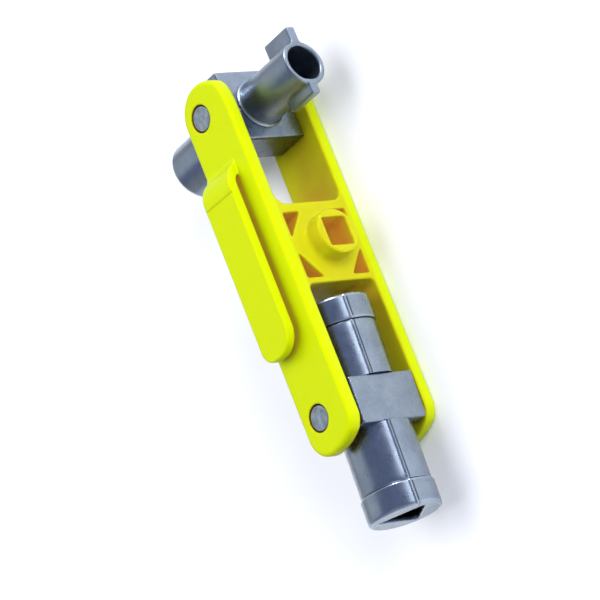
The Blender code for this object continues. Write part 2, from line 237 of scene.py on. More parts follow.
def round_path(centre, radius, start, end, steps=8):
    """Stations on an arc from one angle to another, in degrees: nought points along the axis."""
    angle = np.radians(np.linspace(start, end, steps + 1))
    along = centre[0] + radius * np.cos(angle)
    return [(x, r, 0.0) for x, r in zip(along, centre[1] + radius * np.sin(angle))]


def carry_round(stations, steps, hole=None, ridge=None):
    """Stations (along, out, share of the hole) swept round the axis, as points and faces.

    The distance from the axis is out + share x hole(angle), plus a ridge where one is given.
    """
    table = np.array(stations, float)
    angle = 2 * math.pi * np.arange(steps) / steps
    reach = table[:, 1:2] + np.zeros(steps)
    if hole is not None:
        reach = reach + table[:, 2:3] * hole(angle)
    if ridge is not None:
        reach = reach + ridge(table[:, 1:2], angle)
    along = table[:, 0:1] + np.zeros(steps)
    points = np.stack([along, reach * np.cos(angle), reach * np.sin(angle)], -1).reshape(-1, 3)
    row, column = np.meshgrid(np.arange(len(table)), np.arange(steps), indexing="ij")
    next_row = (row + 1) % len(table)
    next_column = (column + 1) % steps
    corners = [row * steps + column, row * steps + next_column,
               next_row * steps + next_column, next_row * steps + column]
    faces = np.stack(corners, -1)
    closed = table[0, 1] > 0
    return points, (faces if closed else faces[:-1]).reshape(-1, 4)


def station_wear_and_shade(stations, steps, inside=None):
    """Wear and shade of a turned piece: the profile's turn at each station, full at WORN_TURN, and painted
    shade inside the hole.
    """
    table = np.array(stations, float)
    path = table[:, :2] + table[:, 2:3] * [0, 1.0]
    before = path - np.roll(path, 1, axis=0)
    after = np.roll(path, -1, axis=0) - path
    bend = np.abs(np.arctan2(before[:, 0] * after[:, 1] - before[:, 1] * after[:, 0],
                             (before * after).sum(1)))
    wear_and_shade = np.clip(bend / WORN_TURN, 0, 1)
    if inside is not None:
        # Inside the hole the value is below nought: painted shade, and partly dull as-cast metal.
        wear_and_shade[inside:] = -1.0
    return np.repeat(wear_and_shade, steps)


flat_and_corner = keyed_reach(np.array([math.pi / 3, 0.0]), 3, 3.75, 1.0, 0.0)
print("a triangle 3.75 mm from its flats reaches", flat_and_corner.round(2), "at a flat and a corner")

# %% [markdown]
# ## Writing a piece
#
# One function lays a shape on its key, turns its faces outwards, closes its poles and writes it
# to a mesh in metres. It stores a wear and shade value at each vertex, which the finishes read:
# above nought, edge wear and the ridge's painted highlight; below nought, creases, socket insides
# and pin rims that the finishes paint as shade. The object itself stays at the origin, so a
# pattern in object coordinates sits still on the piece.

# %% Write points and faces to a named piece


def on_key(points, key):
    """Points laid out along a key's own axis, moved to its pin and turned to its direction."""
    place, direction = key
    sideways = np.array([-direction[1], direction[0], 0.0])
    upright = np.array([0.0, 0.0, 1.0])
    return place + points @ np.stack([direction, sideways, upright])


def faced_out(points, faces):
    """Faces in the order that makes the enclosed volume positive."""
    a, b, c, d = (points[faces[:, i]] for i in range(4))
    volume = (a * np.cross(b, c)).sum() + (a * np.cross(c, d)).sum()
    return faces if volume > 0 else faces[:, ::-1]


def write_piece(name, points, faces, wear_and_shade, finish, body, node, crease=None):
    """A mesh object in metres that rides on a body and stands for one node of the model."""
    mesh = bpy.data.meshes.new(name)
    mesh.from_pydata((points * MM).tolist(), [], faced_out(points, faces).tolist())
    mesh.attributes.new("wear_and_shade", "FLOAT", "POINT").data.foreach_set("value", wear_and_shade.astype(np.float32))
    work = bmesh.new()
    work.from_mesh(mesh)
    bmesh.ops.remove_doubles(work, verts=work.verts, dist=1e-8)
    open_edges = sum(not edge.is_manifold for edge in work.edges)
    work.to_mesh(mesh)
    work.free()
    mesh.shade_smooth()
    if crease is not None:
        mesh.set_sharp_from_angle(angle=math.radians(crease))
    mesh.materials.append(finish)
    piece = bpy.data.objects.new(name, mesh)
    bpy.context.scene.collection.objects.link(piece)
    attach(piece, body)
    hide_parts(node)
    print(f"{name}: {len(mesh.polygons)} faces, {open_edges} open edges")
    return piece


one_along = on_key(np.array([[1.0, 0.0, 0.0]]), UPPER_KEY) - UPPER_KEY[0]
print("a millimetre along the upper key is a step of", one_along.round(3))

# %% [markdown]
# ## Finishes
#
# Each finish is a Principled shader with its pattern worked out from object coordinates. A short
# helper adds a node and sets or links its inputs, which keeps the recipes readable.

# %% Small helpers for shader nodes


def new_finish(name):
    """A material with its node tree, its shader and its object coordinates."""
    finish = bpy.data.materials.new(name)
    finish.use_nodes = True
    tree = finish.node_tree
    place = tree.nodes.new("ShaderNodeTexCoord").outputs["Object"]
    return finish, tree, tree.nodes["Principled BSDF"], place


def add(tree, kind, inputs, **settings):
    """Adds a node, sets its settings, and gives each named input a value or a link."""
    made = tree.nodes.new(kind)
    for name, value in settings.items():
        setattr(made, name, value)
    for key, value in inputs.items():
        if isinstance(value, bpy.types.NodeSocket):
            tree.links.new(value, made.inputs[key])
        else:
            made.inputs[key].default_value = value
    return made


def noise(tree, place, size_mm, detail=3.0, roughness=0.5):
    """Noise with features of about this size in millimetres, from nought to one."""
    inputs = {"Vector": place, "Scale": 1 / (size_mm * MM), "Detail": detail, "Roughness": roughness}
    return add(tree, "ShaderNodeTexNoise", inputs).outputs["Fac"]


def ramp(tree, value, low, high, start, end):
    """Maps a value from one range to another, and holds it at the ends."""
    inputs = {"Value": value, "From Min": low, "From Max": high, "To Min": start, "To Max": end}
    return add(tree, "ShaderNodeMapRange", inputs).outputs["Result"]


def mix_colour(tree, share, first, second):
    """A blend of two colours, each a value or a link."""
    made = add(tree, "ShaderNodeMix", {0: share}, data_type="RGBA")
    for index, colour in ((6, first), (7, second)):
        if isinstance(colour, bpy.types.NodeSocket):
            tree.links.new(colour, made.inputs[index])
        else:
            made.inputs[index].default_value = (*colour, 1.0)
    return made.outputs[2]


def arithmetic(tree, operation, first, second):
    """One sum of two values, each a number or a link."""
    return add(tree, "ShaderNodeMath", {0: first, 1: second}, operation=operation).outputs[0]


def occlusion(tree, reach_mm, alone=False):
    """How open a point is, from nought to one, with all pieces near it or with its own alone."""
    inputs = {"Distance": reach_mm * MM}
    made = add(tree, "ShaderNodeAmbientOcclusion", inputs, samples=8, only_local=alone)
    return made.outputs["AO"]


def wear_and_shade_value(tree):
    """The wear and painted shade value stored at each vertex."""
    return add(tree, "ShaderNodeAttribute", {}, attribute_name="wear_and_shade").outputs["Fac"]


print("noise with 1 mm features has scale", 1 / MM)

# %% [markdown]
# ### Fluorescent nylon
#
# The yoke is injection-moulded nylon with a fluorescent yellow pigment. Light that enters the skin
# comes out redder the further it has gone, so corners, slots and the thick web look orange rather
# than dark green. That is painted into the colour as warm shade: an occlusion node finds where the
# surface is closed in, the colour is warmed there, and the most closed places, such as the cored
# pockets, also get a weak painted glow.
#
# Painted dark shade lies on the faces the keys pass close to. That share is the occlusion by all
# pieces less the occlusion by the yoke alone, kept between the cheeks by the height. The pin holes'
# rims and the clip cheek's inner face, which looks down, are painted dark as shade too.

# %% Where the nylon is painted with warm shade, and where with dark shade
FORK_HALF = 9.7
WEB_WARMTH = 0.40


def places_on_yoke(tree, place):
    """Two shares from the height: how far between the cheeks, and how near the clip's cheek."""
    height = add(tree, "ShaderNodeSeparateXYZ", {0: place}).outputs["Z"]
    off_middle = arithmetic(tree, "SUBTRACT", height, MIDDLE * MM)
    off_middle = arithmetic(tree, "ABSOLUTE", off_middle, 0.0)
    between = ramp(tree, off_middle, FORK_HALF * MM, (FORK_HALF + 0.9) * MM, 1.0, 0.0)
    clip_side = ramp(tree, height, 0.6 * CHEEK_TOP * MM, 0.8 * CHEEK_TOP * MM, 0.0, 1.0)
    return between, clip_side


def warm_shade_share(tree, between, clip_side):
    """Painted warm shade, the greatest of three: closed corners, the slot under the clip, and a little over
    the web.
    """
    # Painted shade: the colour is warmed where occlusion finds the surface closed in.
    corners = ramp(tree, occlusion(tree, 38, alone=True), 0.86, 0.3, 0.0, 1.0)
    slot = ramp(tree, occlusion(tree, 4), 0.6, 0.15, 0.0, 1.0)
    slot = arithmetic(tree, "MULTIPLY", slot, clip_side)
    web = arithmetic(tree, "MULTIPLY", between, WEB_WARMTH)
    return arithmetic(tree, "MAXIMUM", arithmetic(tree, "MAXIMUM", corners, slot), web)


def dark_shade_share(tree, between, clip_side):
    """Painted dark shade, the greatest of three: faces close to a key, the pin holes' rims, and the clip
    cheek's inside.

    A face close to a key is darkest where it looks along the yoke, where a ring's end closes in on it.
    """
    normal = add(tree, "ShaderNodeNewGeometry", {}).outputs["Normal"]
    facing = add(tree, "ShaderNodeSeparateXYZ", {0: normal}).outputs
    crowded = arithmetic(tree, "SUBTRACT", occlusion(tree, 4, alone=True), occlusion(tree, 4))
    endwise = arithmetic(tree, "ABSOLUTE", facing["X"], 0.0)
    # Painted shade on faces that a key closes in.
    beside = ramp(tree, crowded, 0.1, 0.45, 0.0, 1.0)
    beside = arithmetic(tree, "MULTIPLY", beside, ramp(tree, endwise, 0.4, 0.8, 0.3, 0.97))
    beside = arithmetic(tree, "MULTIPLY", beside, between)
    # Painted shade: a dark ring at the rim of each pin hole.
    pin_rims = ramp(tree, wear_and_shade_value(tree), -1.2, -1.8, 0.0, 0.9)
    # Painted shade on the clip cheek's inner face, which looks down.
    inside = ramp(tree, facing["Z"], -0.3, -0.8, 0.0, 0.75)
    inside = arithmetic(tree, "MULTIPLY", inside, clip_side)
    return arithmetic(tree, "MAXIMUM", arithmetic(tree, "MAXIMUM", beside, pin_rims), inside)


print("the web is warmed by", WEB_WARMTH, "within", FORK_HALF, "mm of the middle")

# %% [markdown]
# The skin itself has a faint flow mottling a few millimetres across, a fine spark texture from the
# mould, and edges rubbed paler and smoother by handling. The wear at each vertex says where the
# edges are, and noise breaks the rubbing up so that it isn't a drawn line.

# %% The yoke's finish
YELLOW = (0.51, 0.61, 0.001)
WARM_SHADE = (0.42, 0.17, 0.015)
# The glow and the darkest shade below are painted into the colour, not given by a lamp.
PAINTED_GLOW = (0.17, 0.075, 0.010)
DARK_SHADE = (0.06, 0.04, 0.006)


def nylon_colour(tree, place, warm_shade_amount, rubbed, dark_shade_amount):
    """Yellow with painted warm shade in its corners and creases, paler clouds and edges, specks, and
    painted dark shade.
    """
    paler = tuple(value * 1.1 + 0.001 for value in YELLOW)
    # Painted warm shade in closed corners.
    colour = mix_colour(tree, warm_shade_amount, YELLOW, WARM_SHADE)
    mottle = ramp(tree, noise(tree, place, 5.0, 4.0), 0.35, 0.68, 0.0, 0.22)
    colour = mix_colour(tree, mottle, colour, paler)
    # Painted warm shade in inner creases.
    crease = ramp(tree, wear_and_shade_value(tree), -0.25, -0.8, 0.0, 0.45)
    colour = mix_colour(tree, crease, colour, WARM_SHADE)
    colour = mix_colour(tree, rubbed, colour, paler)
    specks = ramp(tree, noise(tree, place, 0.9, 2.0), 0.72, 0.78, 0.0, 0.12)
    colour = mix_colour(tree, specks, colour, WARM_SHADE)
    # Painted dark shade over the rest.
    return mix_colour(tree, dark_shade_amount, colour, DARK_SHADE)


def nylon_painted_glow(tree, warm_shade_amount, dark_shade_amount):
    """A painted warm glow in the most closed places, less where dark shade is painted."""
    closed_in = ramp(tree, warm_shade_amount, 0.4, 1.0, 0.0, 1.0)
    unshaded = arithmetic(tree, "SUBTRACT", 1.0, dark_shade_amount)
    return mix_colour(tree, arithmetic(tree, "MULTIPLY", closed_in, unshaded), (0.0, 0.0, 0.0), PAINTED_GLOW)


def nylon_finish(name):
    """Moulded nylon: painted warm shade and glow in its corners, painted dark shade, mottled,
    spark-textured and rubbed at its edges.
    """
    finish, tree, shader, place = new_finish(name)
    between, clip_side = places_on_yoke(tree, place)
    warm_shade_amount = warm_shade_share(tree, between, clip_side)
    dark_shade_amount = dark_shade_share(tree, between, clip_side)
    patchy = ramp(tree, noise(tree, place, 2.2, 5.0), 0.38, 0.62, 0.25, 1.0)
    rubbed = ramp(tree, wear_and_shade_value(tree), 0.25, 0.9, 0.0, 0.55)
    rubbed = arithmetic(tree, "MULTIPLY", rubbed, patchy)
    tree.links.new(nylon_colour(tree, place, warm_shade_amount, rubbed, dark_shade_amount), shader.inputs["Base Color"])
    # The emission is a painted glow: the nylon is no lamp.
    tree.links.new(nylon_painted_glow(tree, warm_shade_amount, dark_shade_amount), shader.inputs["Emission Color"])
    rough = ramp(tree, noise(tree, place, 1.6, 5.0), 0.3, 0.7, 0.40, 0.52)
    rough = arithmetic(tree, "SUBTRACT", rough, arithmetic(tree, "MULTIPLY", rubbed, 0.16))
    tree.links.new(rough, shader.inputs["Roughness"])
    spark = noise(tree, place, 0.28, 2.0, 0.6)
    waves = noise(tree, place, 7.0, 1.0)
    relief = arithmetic(tree, "ADD", spark, arithmetic(tree, "MULTIPLY", waves, 4.0))
    bump = add(tree, "ShaderNodeBump", {"Height": relief, "Strength": 0.18, "Distance": 0.05 * MM})
    tree.links.new(bump.outputs["Normal"], shader.inputs["Normal"])
    shader.inputs["Emission Strength"].default_value = 1.0
    shader.inputs["IOR"].default_value = 1.5
    shader.inputs["Specular IOR Level"].default_value = 0.35
    shader.inputs["Specular Tint"].default_value = (1.0, 1.0, 0.0, 1.0)
    return finish


yoke_finish = nylon_finish("fluorescent_nylon")
print("finish made:", yoke_finish.name, "with", len(yoke_finish.node_tree.nodes), "nodes")

# %% [markdown]
# ### Cast zinc
#
# The keys are die-cast zinc, tumbled to a satin shine. Its colour is a cool grey, and what makes it
# look like a casting is the uneven polish: clouds a few millimetres wide, a fine tumbled grain,
# small pits, and edges that the tumbling has brightened. Creases, sockets and the line beside the
# ridge are painted dark as shade from a wear value below nought, and tight places from occlusion;
# in the sockets the dark is partly dull as-cast metal too. The bit tube is duller than the rest,
# so the same recipe takes the least and the greatest roughness.

# %% The keys' finish
BRIGHT_ZINC = (0.30, 0.35, 0.42)
DULL_ZINC = (0.23, 0.28, 0.345)


def zinc_finish(name, smoothest, roughest):
    """Tumbled casting: cloudy polish, fine grain, small pits, bright edges, and painted shade in seams,
    sockets and tight places.
    """
    finish, tree, shader, place = new_finish(name)
    clouds = noise(tree, place, 4.5, 6.0, 0.55)
    cloudy = ramp(tree, clouds, 0.34, 0.66, 0.0, 1.0)
    colour = mix_colour(tree, cloudy, BRIGHT_ZINC, DULL_ZINC)
    pits = ramp(tree, noise(tree, place, 0.55, 2.0), 0.66, 0.74, 0.0, 0.4)
    colour = mix_colour(tree, pits, colour, tuple(value * 0.45 for value in DULL_ZINC))
    edge = ramp(tree, wear_and_shade_value(tree), 0.3, 1.0, 0.0, 0.7)
    colour = mix_colour(tree, edge, colour, tuple(value * 1.45 for value in BRIGHT_ZINC))
    # Painted shade: creases and socket insides from the wear value, tight places from occlusion.
    crease_and_socket_shade = ramp(tree, wear_and_shade_value(tree), -0.2, -0.9, 0.0, 0.92)
    tight = ramp(tree, occlusion(tree, 6), 0.38, 0.05, 0.0, 0.75)
    zinc_painted_shade = arithmetic(tree, "MAXIMUM", crease_and_socket_shade, tight)
    colour = mix_colour(tree, zinc_painted_shade, colour, tuple(value * 0.1 for value in DULL_ZINC))
    tree.links.new(colour, shader.inputs["Base Color"])
    rough = ramp(tree, noise(tree, place, 2.6, 6.0, 0.6), 0.3, 0.7, smoothest, roughest)
    rough = arithmetic(tree, "ADD", rough, arithmetic(tree, "MULTIPLY", pits, 0.3))
    tree.links.new(rough, shader.inputs["Roughness"])
    grain = noise(tree, place, 0.22, 3.0, 0.6)
    swell = noise(tree, place, 3.4, 2.0)
    height = arithmetic(tree, "ADD", grain, arithmetic(tree, "MULTIPLY", swell, 0.6))
    height = arithmetic(tree, "SUBTRACT", height, arithmetic(tree, "MULTIPLY", pits, 2.0))
    bump = add(tree, "ShaderNodeBump", {"Height": height, "Strength": 0.2, "Distance": 0.03 * MM})
    tree.links.new(bump.outputs["Normal"], shader.inputs["Normal"])
    shader.inputs["Metallic"].default_value = 1.0
    return finish


key_finish = zinc_finish("satin_cast_zinc", 0.24, 0.34)
tube_finish = zinc_finish("matt_cast_zinc", 0.33, 0.42)
print("finishes made:", key_finish.name, tube_finish.name)

# %% [markdown]
# ### Turned pin steel
#
# The pins' ends are faced on a lathe, which leaves very fine rings about the pin's axis. The rings
# are a sine of the distance from the nearer pin, found from object coordinates.

# %% The pins' finish
PIN_COLOUR = (0.39, 0.46, 0.52)
FACING_PITCH = 0.16


def pin_finish(name, centre):
    """Faced bar end: rings about the pin's own axis, with a fine grain and a dull bloom."""
    finish, tree, shader, place = new_finish(name)
    offset = (-centre[0] * MM, -centre[1] * MM, 0.0)
    about = add(tree, "ShaderNodeMapping", {"Vector": place, "Location": offset}).outputs[0]
    flat = add(tree, "ShaderNodeVectorMath", {0: about, 1: (1.0, 1.0, 0.0)}, operation="MULTIPLY")
    out = add(tree, "ShaderNodeVectorMath", {0: flat.outputs[0]}, operation="LENGTH").outputs["Value"]
    turns = arithmetic(tree, "MULTIPLY", out, 2 * math.pi / (FACING_PITCH * MM))
    ring = arithmetic(tree, "SINE", turns, 0.0)
    bloom = noise(tree, place, 1.3, 5.0)
    dark = tuple(value * 0.62 for value in PIN_COLOUR)
    tone = mix_colour(tree, ramp(tree, bloom, 0.35, 0.7, 0.0, 1.0), PIN_COLOUR, dark)
    edge = ramp(tree, wear_and_shade_value(tree), 0.3, 1.0, 0.0, 0.6)
    tone = mix_colour(tree, edge, tone, tuple(value * 1.4 for value in PIN_COLOUR))
    tree.links.new(tone, shader.inputs["Base Color"])
    tree.links.new(ramp(tree, bloom, 0.3, 0.7, 0.30, 0.46), shader.inputs["Roughness"])
    grain = noise(tree, place, 0.2, 2.0)
    height = arithmetic(tree, "ADD", arithmetic(tree, "MULTIPLY", ring, 0.25), grain)
    bump = add(tree, "ShaderNodeBump", {"Height": height, "Strength": 0.3, "Distance": 0.02 * MM})
    tree.links.new(bump.outputs["Normal"], shader.inputs["Normal"])
    shader.inputs["Metallic"].default_value = 1.0
    return finish


lower_pin_finish = pin_finish("lower_pin_steel", LOWER_KEY[0])
upper_pin_finish = pin_finish("upper_pin_steel", UPPER_KEY[0])
print("finishes made:", lower_pin_finish.name, upper_pin_finish.name)

# %% [markdown]
# ## The yoke
#
# The yoke is one moulding: two cheeks, a thick web between them, a round boss with a square drive
# through it, and four cored pockets that keep the web's walls even so that it cools without
# sinking. Seen from the side, each end of a cheek is a gentle bow with a large round corner at the
# back and a small one in front. Its field is that outline given a width, with the fork gaps, the
# pockets and the holes cut out and the boss joined on with a fillet.

# %% The yoke's field
HALF_WIDTH = (YOKE_HIGH[2] - YOKE_LOW[2]) / 2
HALF_DEPTH = -YOKE_LOW[1]
BOSS_FRONT = YOKE_HIGH[1]
CHEEK = 3.2
FRONT_CORNER = 2.6
UPPER_BACK_CORNER = 7.6
LOWER_BACK_CORNER = 5.8
UPPER_BOW = 10.0
LOWER_BOW = 17.0
RIM_ROUND = 1.0
INNER_ROUND = 0.45
WEB_TOP_X = -11.1
WEB_BOTTOM_X = 9.1
UPPER_FILLET = 3.0
LOWER_FILLET = 1.5
BOSS_X = -1.1
BOSS_RADIUS = 5.6
BOSS_FILLET = 1.7
DRIVE_SQUARE = 7.0
POCKET_LEGS = (6.3, 5.0)
POCKET_FLOOR_Y = 3.0 - HALF_DEPTH
POCKET_REACH = 9.3
POCKET_TOP_X = -8.8
POCKET_BOTTOM_X = 7.6
PIN_HOLE = 3.2


def cheek_end(x, y, reach, back_corner, bow_radius):
    """One end of a cheek, at x = reach: a bow above the back corner, a flat end below it."""
    outward = math.copysign(1, reach) * x - abs(reach)
    corner_y = back_corner - HALF_DEPTH
    bow = np.hypot(np.maximum(outward + bow_radius, 0), y - corner_y) - bow_radius
    end = np.where(y < corner_y, outward, bow)
    end = both(end, -HALF_DEPTH - y, back_corner)
    return both(end, y - HALF_DEPTH, FRONT_CORNER)


def fork_gap(along, across, fillet):
    """A fork's gap: past the web's edge along the yoke, and between the cheeks across it."""
    return both(along, across - (HALF_WIDTH - CHEEK), fillet)


def cored_pocket(x, y, across, side, corner_x):
    """A blind three-cornered pocket whose square corner points to a corner of the web."""
    out = side * (x - corner_x)
    up = across - POCKET_REACH
    long_leg, short_leg = POCKET_LEGS
    size = math.hypot(long_leg, short_leg)
    slant = -(out * short_leg + up * long_leg + long_leg * short_leg) / size
    outline = both(both(out, up, 0.5), slant, 0.5)
    return both(outline, POCKET_FLOOR_Y - y, 0.6)


def from_pin(x, y, key):
    """Distance from a key's pin axis."""
    return np.hypot(x - key[0][0], y - key[0][1])


def yoke_field(x, y, z):
    """The whole yoke: outline x width, less the gaps, plus the boss, less pockets and holes."""
    across = np.abs(z - MIDDLE)
    upper_end = cheek_end(x, y, YOKE_LOW[0], UPPER_BACK_CORNER, UPPER_BOW)
    lower_end = cheek_end(x, y, YOKE_HIGH[0], LOWER_BACK_CORNER, LOWER_BOW)
    outline = np.maximum(upper_end, lower_end)
    body = both(outline, across - HALF_WIDTH, RIM_ROUND)
    body = cut(body, fork_gap(x - WEB_TOP_X, across, UPPER_FILLET), INNER_ROUND)
    body = cut(body, fork_gap(WEB_BOTTOM_X - x, across, LOWER_FILLET), INNER_ROUND)
    about = np.hypot(x - BOSS_X, z - MIDDLE)
    boss = np.maximum(both(about - BOSS_RADIUS, y - BOSS_FRONT, 0.5), -y)
    body = either(body, boss, BOSS_FILLET)
    for side, corner_x in ((-1, POCKET_TOP_X), (1, POCKET_BOTTOM_X)):
        body = cut(body, cored_pocket(x, y, across, side, corner_x), 0.35)
    drive = both(np.abs(x - BOSS_X) - DRIVE_SQUARE / 2, across - DRIVE_SQUARE / 2, 0.4)
    body = cut(body, drive, 0.25)
    for key in (LOWER_KEY, UPPER_KEY):
        body = cut(body, from_pin(x, y, key) - PIN_HOLE, 0.3)
    return body


print("in the drive square the field reads", yoke_field(BOSS_X, 0.0, MIDDLE).round(2))

# %% [markdown]
# The wear and shade come from the field too: a short way under a sharp edge the field is shallower
# than it is under a flat, and a short way over a crease it is lower. The finishes paint the creases
# as shade. Round the pins the value is set far below nought, which the finish paints as a dark ring
# of shade at the rim of each hole.

# %% Make the yoke
PIN_RIM = 0.3

yoke_cell = 0.37
yoke_points, yoke_faces = field_surface(yoke_field, YOKE_LOW, YOKE_HIGH, yoke_cell)
yoke_wear_and_shade = edge_and_crease_of(yoke_field, yoke_points, 0.8)
for key in (LOWER_KEY, UPPER_KEY):
    out = from_pin(yoke_points[:, 0], yoke_points[:, 1], key)
    # Painted shade: a dark ring round each pin, in the gap to its hole.
    rim_share = np.clip((PIN_HOLE + PIN_RIM - out) / PIN_RIM, 0, 1)
    yoke_wear_and_shade = yoke_wear_and_shade * (1 - rim_share) - 2.0 * rim_share
write_piece("yoke_moulding", yoke_points, yoke_faces, yoke_wear_and_shade, yoke_finish,
            "yoke", "yoke_frame")

# %% [markdown]
# ## The belt clip
#
# The clip is a flat tongue that rises steeply off the left cheek and runs along it, with two
# unequal round corners at its tip. It is moulded in one with the cheek, so its foot sinks into the
# cheek with a small fillet. In side view it is two planes, a ramp and a level top, met with a round
# shoulder. The same two planes, moved in by the thickness, are cut out of them and leave a bent
# strip. A shallow line across it, where two mould parts met, is a round groove.

# %% The clip's field
CLIP_LOW, CLIP_HIGH = box_mm("belt_clip")
CLIP_THICKNESS = 2.4
CLIP_SHOULDER_X = -21.6
SHOULDER_ROUND = 2.2
CLIP_FRONT_CORNER = 5.8
CLIP_BACK_CORNER = 3.6
CLIP_EDGE_ROUND = 0.45
CLIP_FOOT_LENGTH = 4.8
CLIP_MARK_X = -17.2
CLIP_MARK_RADIUS = 0.28


def clip_field(x, y, z):
    """A bent strip in side view, cut to the clip's plan, with a filleted foot.

    Its outside is the ramp's plane met with the top plane; the same pair, one thickness in, is cut out.
    """
    rise = (CLIP_HIGH[2] - CHEEK_TOP) / (CLIP_SHOULDER_X - CLIP_LOW[0])
    lean = math.hypot(rise, 1.0)
    off_ramp = (z - CHEEK_TOP - rise * (x - CLIP_LOW[0])) / lean
    off_top = z - CLIP_HIGH[2]
    under = both(off_ramp + CLIP_THICKNESS, off_top + CLIP_THICKNESS, 0.8)
    strip = cut(both(off_ramp, off_top, SHOULDER_ROUND), under, CLIP_EDGE_ROUND)
    plan = both(x - CLIP_HIGH[0], y - CLIP_HIGH[1], CLIP_FRONT_CORNER)
    plan = both(plan, CLIP_LOW[1] - y, CLIP_BACK_CORNER)
    clip = both(strip, plan, CLIP_EDGE_ROUND)
    foot_x = CLIP_LOW[0] + CLIP_THICKNESS * lean / rise / 2
    middle_y = (CLIP_HIGH[1] + CLIP_LOW[1]) / 2
    pad = np.maximum(z - CHEEK_TOP + 0.05, np.abs(x - foot_x) - CLIP_FOOT_LENGTH / 2)
    pad = np.maximum(pad, np.abs(y - middle_y) - (CLIP_HIGH[1] - CLIP_LOW[1]) / 2 + 0.1)
    clip = np.maximum(either(clip, pad, 0.8), CHEEK_TOP - 0.5 - z)
    mark = np.hypot(x - CLIP_MARK_X, z - CLIP_HIGH[2] - 0.05) - CLIP_MARK_RADIUS
    return cut(clip, mark, 0.05)


# %% Make the clip
clip_cell = 0.21
clip_low = [CLIP_LOW[0] - 3, CLIP_LOW[1], CHEEK_TOP - 0.6]
clip_points, clip_faces = field_surface(clip_field, clip_low, CLIP_HIGH, clip_cell)
clip_wear_and_shade = edge_and_crease_of(clip_field, clip_points, 0.7)
write_piece("belt_clip_tongue", clip_points, clip_faces, clip_wear_and_shade, yoke_finish,
            "clip", "belt_clip")

# %% [markdown]
# ## The cross pins
#
# Each pin is a bar with both ends faced and their edges rounded, pressed through the yoke. Its
# profile runs from the axis across one end, round that edge, along the side, round the other edge
# and back to the axis.

# %% Make the pins
PIN_RADIUS = 2.95
PIN_EDGE = 0.3
PIN_STEPS = 96

for label, key, finish in (("upper", UPPER_KEY, upper_pin_finish), ("lower", LOWER_KEY, lower_pin_finish)):
    low, high = box_mm(label + "_pivot_pin")
    flat = PIN_RADIUS - PIN_EDGE
    ends = [(low[2], 0.0, 0.0), (low[2], 1.2, 0.0), (low[2], flat - 0.05, 0.0)]
    ends += round_path((low[2] + PIN_EDGE, flat), PIN_EDGE, 180, 90, 5)
    ends += round_path((high[2] - PIN_EDGE, flat), PIN_EDGE, 90, 0, 5)
    ends += [(high[2], flat - 0.05, 0.0), (high[2], 1.2, 0.0), (high[2], 0.0, 0.0)]
    points, faces = carry_round(ends, PIN_STEPS)
    upright = points[:, [1, 2, 0]] + [key[0][0], key[0][1], 0.0]
    write_piece(label + "_pin_turned", upright, faces, station_wear_and_shade(ends, PIN_STEPS), finish,
                "yoke", label + "_pivot_pin", crease=40)

# %% [markdown]
# ## The pivot blocks
#
# The middle of each key is a plain cast block that fills the fork, bored for the pin. Tumbling has
# left its corners only slightly round. The field is three slabs met with round edges, less a bore.
# A block's size is its length along the key and its depth across it, and its middle is how far it
# lies off the pin both ways. The upper block's face that looks towards the web is painted darker,
# as shade.

# %% Make the pivot blocks
BLOCK_ROUND = 0.5
BLOCK_HALF_WIDTH = 9.5
PIN_BORE = 3.15
UPPER_BLOCK_SIZE = (9.8, 17.7)
UPPER_BLOCK_MIDDLE = (1.4, -0.4)
LOWER_BLOCK_SIZE = (11.3, 15.0)
LOWER_BLOCK_MIDDLE = (0.0, 2.4)


def block_field(size, middle):
    """A cast block about a pin that stands upright: its size and middle along and across the key."""
    def field(x, y, z):
        """Three slabs met with round edges, less the bore."""
        ends = np.abs(x - middle[0]) - size[0] / 2
        sides = np.abs(y - middle[1]) - size[1] / 2
        slabs = both(both(ends, sides, BLOCK_ROUND), np.abs(z) - BLOCK_HALF_WIDTH, BLOCK_ROUND)
        return cut(slabs, np.hypot(x, y) - PIN_BORE, 0.2)
    return field


def make_block(name, node, body, key, size, middle, shaded_face=False):
    """Meshes a block in its key's own axes and lays it on the key; one face may be painted darker as shade.
    """
    field = block_field(size, middle)
    low = (middle[0] - size[0] / 2, middle[1] - size[1] / 2, -BLOCK_HALF_WIDTH)
    high = (middle[0] + size[0] / 2, middle[1] + size[1] / 2, BLOCK_HALF_WIDTH)
    points, faces = field_surface(field, low, high, 0.26)
    wear_and_shade = edge_and_crease_of(field, points, 0.6)
    laid = on_key(points, key)
    if shaded_face:
        # Painted shade on the face that looks towards the web.
        wear_and_shade = np.where(laid[:, 0] > laid[:, 0].max() - 0.45, wear_and_shade * 0.5 - 0.7, wear_and_shade)
    write_piece(name, laid, faces, wear_and_shade, key_finish, body, node)


make_block("upper_block_cast", "upper_pivot_block", "upper_key", UPPER_KEY,
           UPPER_BLOCK_SIZE, UPPER_BLOCK_MIDDLE, shaded_face=True)
make_block("lower_block_cast", "lower_pivot_block", "lower_key", LOWER_KEY,
           LOWER_BLOCK_SIZE, LOWER_BLOCK_MIDDLE)

# %% [markdown]
# ## The lower key's barrels and rings
#
# Each arm of the lower key is a hollow barrel that ends in a slightly larger ring with the socket
# in it: three-sided at one end and square at the other. The two halves of the casting mould met
# along the barrel and left a low ridge there. Its top gets a painted highlight, and a painted line
# of shade lies just below it. Both the ridge and its painted highlight and shade are bell curves of
# the angle round the barrel.

